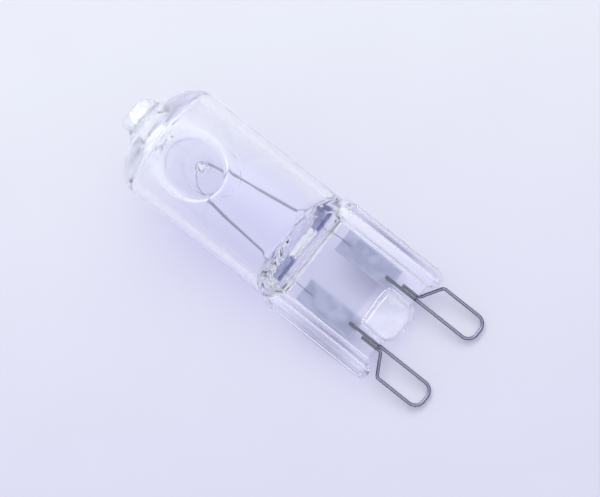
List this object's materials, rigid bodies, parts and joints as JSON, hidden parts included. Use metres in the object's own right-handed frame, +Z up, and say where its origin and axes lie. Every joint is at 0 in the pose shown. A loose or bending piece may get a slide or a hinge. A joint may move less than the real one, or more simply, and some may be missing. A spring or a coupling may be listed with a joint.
{
  "type": "halogen capsule lamp",
  "caption": "Clear quartz halogen capsule bulb for a cooker hood, with two wire contact loops, lying on its side.",
  "frame": {"origin": "centre of the box that the lamp fills, seen from above, on the surface that it lies on", "axes": "+X along the lamp from the contact loops to the tip, seen from above (the lamp's own axis rises 14.3 degrees above it towards the tip); +Y across the pinch, to the left looking at the tip; +Z up"},
  "size_m": [0.0426, 0.0142, 0.0166],
  "materials": {
    "quartz_glass": "fire-polished clear",
    "molybdenum_foil": "thin rolled foil, slightly crinkled",
    "contact_wire": "drawn wire, dull",
    "tungsten_coil": "matt, recrystallised"
  },
  "bodies": {
    "root": {"glass_envelope": "quartz_glass", "foil_left": "molybdenum_foil", "foil_right": "molybdenum_foil", "contact_loop_left": "contact_wire", "contact_loop_right": "contact_wire", "filament": "tungsten_coil"}
  },
  "joints": []
}
